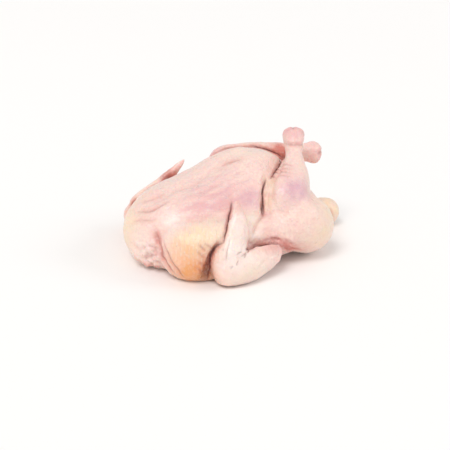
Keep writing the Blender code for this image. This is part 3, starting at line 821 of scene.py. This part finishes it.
class CHICKEN_PG_shape(bpy.types.PropertyGroup):
    """Sizes of the skin's relief."""
    mesh_spacing: FloatProperty(
        name="Mesh spacing", description="Distance between the skin's vertices", default=0.00128, min=0.0008,
        unit="LENGTH", precision=5)
    softening: IntProperty(
        name="Softening", description="Smoothing steps before the folds", default=5, min=0)
    fold_depth: FloatProperty(
        name="Fold depth", description="How deep the folds are, against the drawn bird's", default=1.0,
        subtype="FACTOR")
    follicle_height: FloatProperty(
        name="Follicle height", description="Height of the follicles and the fine grain", default=0.0006,
        unit="LENGTH", precision=5)


class CHICKEN_PG_finish(bpy.types.PropertyGroup):
    """Colours and gloss of the skin."""
    ground_colour: colour_property("Ground", "Most of the skin", (0.965, 0.845, 0.815))
    warm_colour: colour_property("Warm ground", "The skin's warmer clouds", (0.976, 0.865, 0.805))
    pink_colour: colour_property("Pink", "Thin skin over flesh", (0.925, 0.742, 0.730))
    cream_colour: colour_property("Cream", "Skin over fat", (0.972, 0.868, 0.745))
    amber_colour: colour_property("Amber", "Yellow fat low on the shoulder", (0.955, 0.680, 0.440))
    mauve_colour: colour_property("Mauve", "Dark flesh through the skin", (0.860, 0.680, 0.720))
    pale_colour: colour_property("Pale", "The palest skin and the follicles", (0.980, 0.910, 0.880))
    lavender_colour: colour_property("Lavender", "The leg ends", (0.900, 0.680, 0.690))
    # Raw pink, laid partly as painted shade in the folds, gaps and hollows.
    raw_pink_and_shade_colour: colour_property("Raw pink", "Inside folds", (0.800, 0.420, 0.360))
    shade_colour: colour_property("Deep fold", "The deepest lines", (0.330, 0.090, 0.070))
    follicle_colour: colour_property("Dots", "Dark dots on the neck's skin", (0.700, 0.560, 0.450))
    translucency: FloatProperty(
        name="Translucency", description="How much light passes under the skin", default=0.35,
        subtype="FACTOR")
    wet_roughness: FloatProperty(
        name="Wet roughness", description="Roughness where the skin is wettest", default=0.27,
        subtype="FACTOR")
    dry_roughness: FloatProperty(
        name="Dry roughness", description="Roughness where the skin is driest", default=0.46,
        subtype="FACTOR")


class CHICKEN_PG_stage(bpy.types.PropertyGroup):
    """The table, the light and the camera."""
    table_size: FloatProperty(name="Table size", description="Side of the table", default=6.0, unit="LENGTH")
    table_colour: colour_property("Table", "The table's colour", (0.985, 0.98, 0.975))
    key_strength: FloatProperty(name="Key light", description="Strength of the main lamp", default=1.35)
    fill_strength: FloatProperty(name="Fill light", description="Strength of the other lamp", default=0.45)
    lamp_spread: FloatProperty(
        name="Lamp spread", description="How wide each lamp looks from the bird", default=0.45,
        unit="ROTATION")
    sky_strength: FloatProperty(
        name="Sky", description="Strength of the light from all round", default=0.66)
    lens: FloatProperty(name="Lens", description="Focal length in millimetres", default=82.72)


def fine_copy(context, solid, settings):
    """The solid's mesh again, with evenly spaced vertices, and softened."""
    holder = bpy.data.objects.new("skin", solid.data.copy())
    holder.data.materials.clear()
    context.scene.collection.objects.link(holder)
    remesh = holder.modifiers.new("Fine mesh", "REMESH")
    remesh.mode = "VOXEL"
    remesh.voxel_size = settings.mesh_spacing
    soften = holder.modifiers.new("Soften", "SMOOTH")
    soften.factor = 0.5
    soften.iterations = settings.softening
    mesh = bpy.data.meshes.new_from_object(holder.evaluated_get(context.evaluated_depsgraph_get()))
    mesh.name = "skin"
    holder.modifiers.clear()
    holder.data = mesh
    return holder


class CHICKEN_OT_skin(bpy.types.Operator):
    """Build the bird's skin over its solid"""
    bl_idname = "chicken.skin"
    bl_label = "Build skin"

    def execute(self, context):
        shape, finish = context.scene.chicken_shape, context.scene.chicken_finish
        piece = fine_copy(context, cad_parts["chicken"], shape)
        skin = Skin(piece.data)
        work_relief(skin)
        work_ends(skin)
        work_creases(skin, shape)
        work_colours(skin)
        skin.store()
        piece.data.shade_smooth()
        piece.data.materials.append(skin_material(finish, shape.follicle_height))
        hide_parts("chicken")
        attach(piece, "root")
        return {"FINISHED"}


TABLE_ROUGHNESS = 0.7
# How much darker the table's fainter clouds are.
TABLE_CLOUD_SHADE = 0.97


def place_table(context, settings):
    """A large pale table under the bird."""
    half = settings.table_size / 2
    corners = [(-half, -half, 0.0), (half, -half, 0.0), (half, half, 0.0), (-half, half, 0.0)]
    mesh = bpy.data.meshes.new("table")
    mesh.from_pydata(corners, [], [(0, 1, 2, 3)])
    table = bpy.data.objects.new("table", mesh)
    material = bpy.data.materials.new("pale_table")
    material.use_nodes = True
    tree = ShaderTree(material.node_tree)
    grain = tree.node("TexNoise", Scale=3.0, Detail=2.0).outputs["Fac"]
    shaded = [TABLE_CLOUD_SHADE * value for value in settings.table_colour]
    shader = material.node_tree.nodes["Principled BSDF"]
    tree.join(tree.layered(settings.table_colour, shaded, grain), shader.inputs["Base Color"])
    tree.join(TABLE_ROUGHNESS, shader.inputs["Roughness"])
    mesh.materials.append(material)
    context.scene.collection.objects.link(table)


# The lamps shine from these places towards the bird.
KEY_PLACE = (-0.75, -0.35, 1.10)
FILL_PLACE = (0.90, -0.55, 0.70)
SKY_COLOUR = (1.0, 0.99, 0.98, 1.0)


def place_lights(context, settings):
    """Two soft lamps and an even white sky."""
    for name, strength, place in (
            ("key", settings.key_strength, KEY_PLACE), ("fill", settings.fill_strength, FILL_PLACE)):
        lamp = bpy.data.lights.new(name, "SUN")
        lamp.energy = strength
        lamp.angle = settings.lamp_spread
        holder = bpy.data.objects.new(name, lamp)
        holder.location = place
        holder.rotation_euler = Vector(place).to_track_quat("Z", "Y").to_euler()
        context.scene.collection.objects.link(holder)
    world = bpy.data.worlds.new("white_sky")
    world.use_nodes = True
    sky = world.node_tree.nodes["Background"]
    sky.inputs["Color"].default_value = SKY_COLOUR
    sky.inputs["Strength"].default_value = settings.sky_strength
    context.scene.world = world
    context.scene.view_settings.view_transform = "Standard"


# Where the camera stands, and the directions of its own axes.
CAMERA_PLACE = (-0.59961, -0.79809, 0.39762)
CAMERA_RIGHT = (0.81786, -0.57376, 0.04355)
CAMERA_UP = (0.17081, 0.31436, 0.93381)
CAMERA_BACK = (-0.54948, -0.75629, 0.35511)
SENSOR_WIDTH = 36.0


def place_camera(context, settings):
    """The camera, from the bird's right front and a little above."""
    lens = bpy.data.cameras.new("camera")
    lens.lens = settings.lens
    lens.sensor_width = SENSOR_WIDTH
    holder = bpy.data.objects.new("camera", lens)
    matrix = Matrix((CAMERA_RIGHT, CAMERA_UP, CAMERA_BACK)).transposed().to_4x4()
    matrix.translation = Vector(CAMERA_PLACE)
    holder.matrix_world = matrix
    context.scene.collection.objects.link(holder)
    context.scene.camera = holder


class CHICKEN_OT_stage(bpy.types.Operator):
    """Set the table, the light and the camera"""
    bl_idname = "chicken.stage"
    bl_label = "Set stage"

    def execute(self, context):
        settings = context.scene.chicken_stage
        place_table(context, settings)
        place_lights(context, settings)
        place_camera(context, settings)
        return {"FINISHED"}


class CHICKEN_PT_panel(bpy.types.Panel):
    """Lists the bird's settings and the buttons that build it"""
    bl_label = "Raw chicken"
    bl_idname = "CHICKEN_PT_panel"
    bl_space_type = "VIEW_3D"
    bl_region_type = "UI"
    bl_category = "Chicken"

    def draw(self, context):
        layout = self.layout
        scene = context.scene
        for settings in (scene.chicken_shape, scene.chicken_finish, scene.chicken_stage):
            box = layout.box()
            for name in settings.__annotations__:
                box.prop(settings, name)
        layout.operator(CHICKEN_OT_skin.bl_idname)
        layout.operator(CHICKEN_OT_stage.bl_idname)


CLASSES = (
    CHICKEN_PG_shape, CHICKEN_PG_finish, CHICKEN_PG_stage, CHICKEN_OT_skin, CHICKEN_OT_stage,
    CHICKEN_PT_panel)


def register():
    for cls in CLASSES:
        bpy.utils.register_class(cls)
    bpy.types.Scene.chicken_shape = PointerProperty(type=CHICKEN_PG_shape)
    bpy.types.Scene.chicken_finish = PointerProperty(type=CHICKEN_PG_finish)
    bpy.types.Scene.chicken_stage = PointerProperty(type=CHICKEN_PG_stage)


def unregister():
    for name in ("chicken_shape", "chicken_finish", "chicken_stage"):
        delattr(bpy.types.Scene, name)
    for cls in reversed(CLASSES):
        bpy.utils.unregister_class(cls)


def main():
    register()
    bpy.ops.chicken.skin()
    bpy.ops.chicken.stage()


if __name__ == "__main__":
    main()
